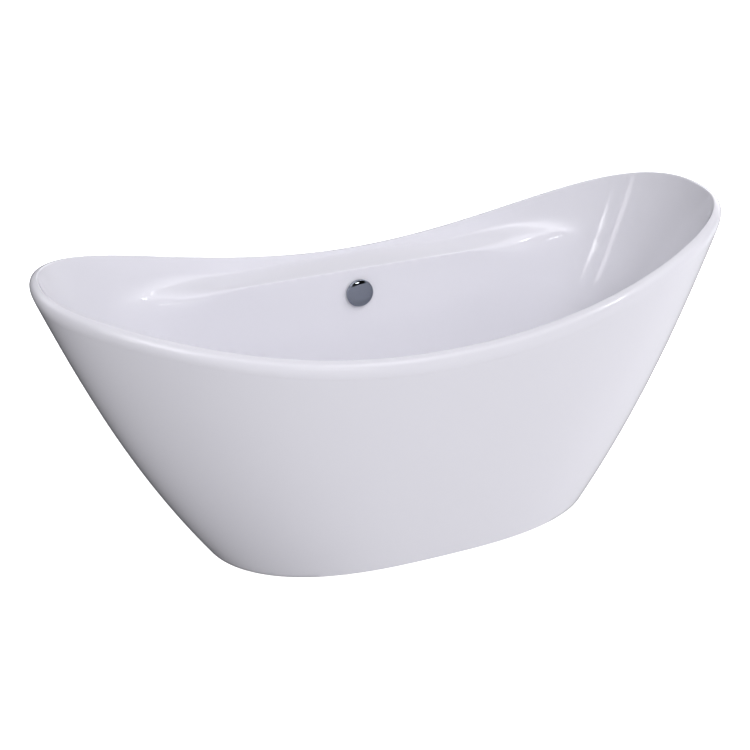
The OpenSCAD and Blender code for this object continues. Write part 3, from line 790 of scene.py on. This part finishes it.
def threaded_rod(name, centre, low, high, material):
    """An upright rod with a helical thread and chamfered ends."""
    segments, per_pitch = 30, 8
    rows = int((high - low) / THREAD_PITCH * per_pitch)
    z = np.linspace(low, high, rows + 1)[:, None]
    turn = np.arange(segments)[None, :] / segments
    phase = (z / THREAD_PITCH - turn) % 1
    ridge = np.clip(1.3 - 4 * np.abs(phase - 0.5), 0, 1)
    r = STUD_R - THREAD_DEPTH * (1 - ridge)
    end = np.minimum(z - low, high - z)
    r = np.minimum(r, STUD_R - STUD_CHAMFER + end)
    angle = 2 * math.pi * turn
    grid = points(centre[0] + r * np.cos(angle), centre[1] + r * np.sin(angle), z)
    faces = []
    for row in range(rows):
        for k in range(segments):
            n = (k + 1) % segments
            this, above = row * segments, (row + 1) * segments
            faces.append((this + k, this + n, above + n, above + k))
    faces += [tuple(range(segments))[::-1], tuple(range(rows * segments, (rows + 1) * segments))]
    mesh = bpy.data.meshes.new(name)
    mesh.from_pydata(grid.reshape(-1, 3).tolist(), [], faces)
    mesh.materials.append(material)
    mesh.polygons.foreach_set("use_smooth", [True] * len(mesh.polygons))
    mesh.set_sharp_from_angle(angle=math.radians(50))
    piece = bpy.data.objects.new(name, mesh)
    bpy.context.collection.objects.link(piece)
    return piece


def make_studs():
    """The levelling feet's threaded studs, each with the hexagon that turns it."""
    steel = SLOT_MATERIALS["zinc_steel"]
    for k in range(1, 6):
        low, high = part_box(f"foot_stud_{k}")
        pad_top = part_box(f"foot_pad_{k}")[1][2]
        centre = ((low[0] + high[0]) / 2, (low[1] + high[1]) / 2)
        rod = threaded_rod("stud_rod", centre, low[2], high[2], steel)
        core = STUD_R - STUD_CHAMFER
        first, second, top = (pad_top + height for height in HEX_HEIGHTS)
        hexagon = [(core, pad_top), (HEX_EDGE_R, pad_top), (HEX_R, first), (HEX_R, second),
                   (HEX_EDGE_R, top), (core, top)]
        place = Matrix.Translation((centre[0], centre[1], 0))
        nut = lathe("stud_hex", hexagon, place, steel, 6)
        joined(f"foot_screw_{k}", [rod, nut], f"foot_{k}", f"foot_stud_{k}", "zinc_steel")


def soften_edges():
    """Small rounded edges on the plain steel, timber and moulded nodes."""
    tubes = ["front_rail", "back_rail"] + [f"cross_member_{k}" for k in range(1, 5)]
    widths = {"base_board": 0.0012, "skirt_brackets": 0.0005, **dict.fromkeys(tubes, 0.0009)}
    for name, width in widths.items():
        soften = frame["nodes"][name].modifiers.new("soft_edges", "BEVEL")
        soften.width = width
        soften.segments = 2
        soften.limit_method = "ANGLE"
        soften.angle_limit = math.radians(40)


make_cover()
make_drain()
make_stopper()
make_studs()
soften_edges()

# ---- Studio ----

FLOOR_SIZE = 40
FLOOR_GLOW = 0.95
BACKDROP_R = 19
BACKDROP_HEIGHT = 14
LIGHT_DISTANCE = 4.0
LIGHT_AIM = Vector((0, 0, 0.35))
# The surround's soft lobes: azimuth (0 is the front, 90 the right), elevation and level.
# The high ones light the tub from above the horizon, and the low ones stand in for the floor.
HIGH_LOBE_POWER = 14
HIGH_LOBES = [(-15, 40, 4.54), (20, 40, 0.58), (55, 40, 1.68), (55, 12, 0.40),
              (130, 12, 2.53), (130, 40, 0.27), (165, 12, 0.30), (-150, 40, 2.12)]
LOW_LOBE_POWER = 4
LOW_LOBES = [(90, -25, 1.52), (30, -25, 0.88), (-90, -25, 0.72)]
SURROUND_TINT = (1.005, 0.996, 1.05, 1)
# Heights over which the low lobes fade out and the high ones fade in
LOW_FADE = (-0.04, 0.04)
HIGH_FADE = (-0.04, 0.10)
# A dark part of the studio in front: azimuth, elevation, angle across, soft edge and level
DARK_PART = (15, 18, 19, 4, 0.02)
# Small lights: azimuth, elevation, width, height, watts
SMALL_LIGHTS = [(-43, 15, 0.5, 0.4, 6), (-58, 16, 0.4, 0.8, 3), (38, 43, 0.26, 0.26, 7),
                (12, 20, 0.8, 0.12, 4), (75, 62, 2.4, 0.15, 6), (20, 52, 3.0, 0.12, 4)]


def floor_material():
    """A pale, even, bright material."""
    material, shader = new_material("pale_floor", Roughness=0.9, Specular_IOR_Level=0.0,
                                    Emission_Color=(1, 1, 1, 1), Emission_Strength=FLOOR_GLOW)
    tree = material.node_tree
    shade = ramp(tree, noise(tree, object_coords(tree), 3, 3),
                 (0.90, 0.90, 0.90, 1), (0.92, 0.92, 0.92, 1))
    tree.links.new(shade, shader.inputs["Base Color"])
    return material


def stage_piece(name, vertices, faces, material):
    """A piece of the stage that neither lights the tub nor shows in its reflections."""
    mesh = bpy.data.meshes.new(name)
    mesh.from_pydata(vertices, [], faces)
    mesh.materials.append(material)
    piece = bpy.data.objects.new(name, mesh)
    piece.visible_diffuse = False
    piece.visible_glossy = False
    bpy.context.collection.objects.link(piece)
    return piece


def make_floor(material):
    """A plain pale floor."""
    half = FLOOR_SIZE / 2
    corners = [(-half, -half, 0), (half, -half, 0), (half, half, 0), (-half, half, 0)]
    stage_piece("floor", corners, [(0, 1, 2, 3)], material)


def make_backdrop(material):
    """A far pale wall all round, for low views. Only the camera sees it."""
    count = 96
    turn = [2 * math.pi * k / count for k in range(count)]
    vertices = [(BACKDROP_R * math.cos(t), BACKDROP_R * math.sin(t), z)
                for z in (0, BACKDROP_HEIGHT) for t in turn]
    faces = [(k, (k + 1) % count, count + (k + 1) % count, count + k) for k in range(count)]
    backdrop = stage_piece("backdrop", vertices, faces, material)
    backdrop.visible_transmission = False
    backdrop.visible_shadow = False


def direction(azimuth, elevation):
    """A direction from the tub, from degrees."""
    turn, rise = math.radians(azimuth), math.radians(elevation)
    level = math.cos(rise)
    return Vector((math.sin(turn) * level, -math.cos(turn) * level, math.sin(rise)))


def small_light(azimuth, elevation, width, height, watts):
    """A rectangular light that gives a highlight."""
    away = direction(azimuth, elevation)
    data = bpy.data.lights.new("light", "AREA")
    data.shape = "RECTANGLE"
    data.size, data.size_y = width, height
    data.energy = watts
    light = bpy.data.objects.new("light", data)
    light.location = LIGHT_AIM + away * LIGHT_DISTANCE
    light.rotation_euler = (-away).to_track_quat("-Z", "Y").to_euler()
    bpy.context.collection.objects.link(light)


def maths(tree, operation, first, second):
    """A maths node of a link and a number or another link."""
    node = tree.nodes.new("ShaderNodeMath")
    node.operation = operation
    tree.links.new(first, node.inputs[0])
    if isinstance(second, (int, float)):
        node.inputs[1].default_value = second
    else:
        tree.links.new(second, node.inputs[1])
    return node.outputs["Value"]


def step_between(tree, value, low, high, at_low, at_high):
    """A value mapped from one range to another, and held at its ends."""
    node = tree.nodes.new("ShaderNodeMapRange")
    tree.links.new(value, node.inputs["Value"])
    numbers = {"From Min": low, "From Max": high, "To Min": at_low, "To Max": at_high}
    for key, number in numbers.items():
        node.inputs[key].default_value = number
    return node.outputs["Result"]


def towards(tree, coords, azimuth, elevation):
    """How far the surround's direction agrees with another one: 1 is the same."""
    node = tree.nodes.new("ShaderNodeVectorMath")
    node.operation = "DOT_PRODUCT"
    tree.links.new(coords, node.inputs[0])
    node.inputs[1].default_value = direction(azimuth, elevation)
    return node.outputs["Value"]


def lobes(tree, coords, rows, power):
    """The sum of soft lobes: each row is an azimuth, an elevation and a level."""
    total = None
    for azimuth, elevation, level in rows:
        lobe = maths(tree, "MAXIMUM", towards(tree, coords, azimuth, elevation), 0.0)
        lobe = maths(tree, "MULTIPLY", maths(tree, "POWER", lobe, power), level)
        total = lobe if total is None else maths(tree, "ADD", total, lobe)
    return total


def make_world():
    """The studio's soft light: broad soft lobes above and below the horizon."""
    world = bpy.data.worlds.new("studio")
    world.use_nodes = True
    tree = world.node_tree
    coords = tree.nodes.new("ShaderNodeTexCoord").outputs["Generated"]
    split = tree.nodes.new("ShaderNodeSeparateXYZ")
    tree.links.new(coords, split.inputs["Vector"])
    below = step_between(tree, split.outputs["Z"], *LOW_FADE, 1, 0)
    above = step_between(tree, split.outputs["Z"], *HIGH_FADE, 0, 1)
    azimuth, elevation, across, edge, level = DARK_PART
    inner, outer = math.cos(math.radians(across)), math.cos(math.radians(across + edge))
    lit = step_between(tree, towards(tree, coords, azimuth, elevation), outer, inner, 1, level)
    high = maths(tree, "MULTIPLY", lobes(tree, coords, HIGH_LOBES, HIGH_LOBE_POWER), above)
    low = maths(tree, "MULTIPLY", lobes(tree, coords, LOW_LOBES, LOW_LOBE_POWER), below)
    total = maths(tree, "ADD", maths(tree, "MULTIPLY", high, lit), low)
    background = tree.nodes["Background"]
    tree.links.new(total, background.inputs["Strength"])
    background.inputs["Color"].default_value = SURROUND_TINT
    bpy.context.scene.world = world


pale = floor_material()
make_floor(pale)
make_backdrop(pale)
make_world()
for row in SMALL_LIGHTS:
    small_light(*row)
bpy.context.scene.view_settings.view_transform = "Standard"
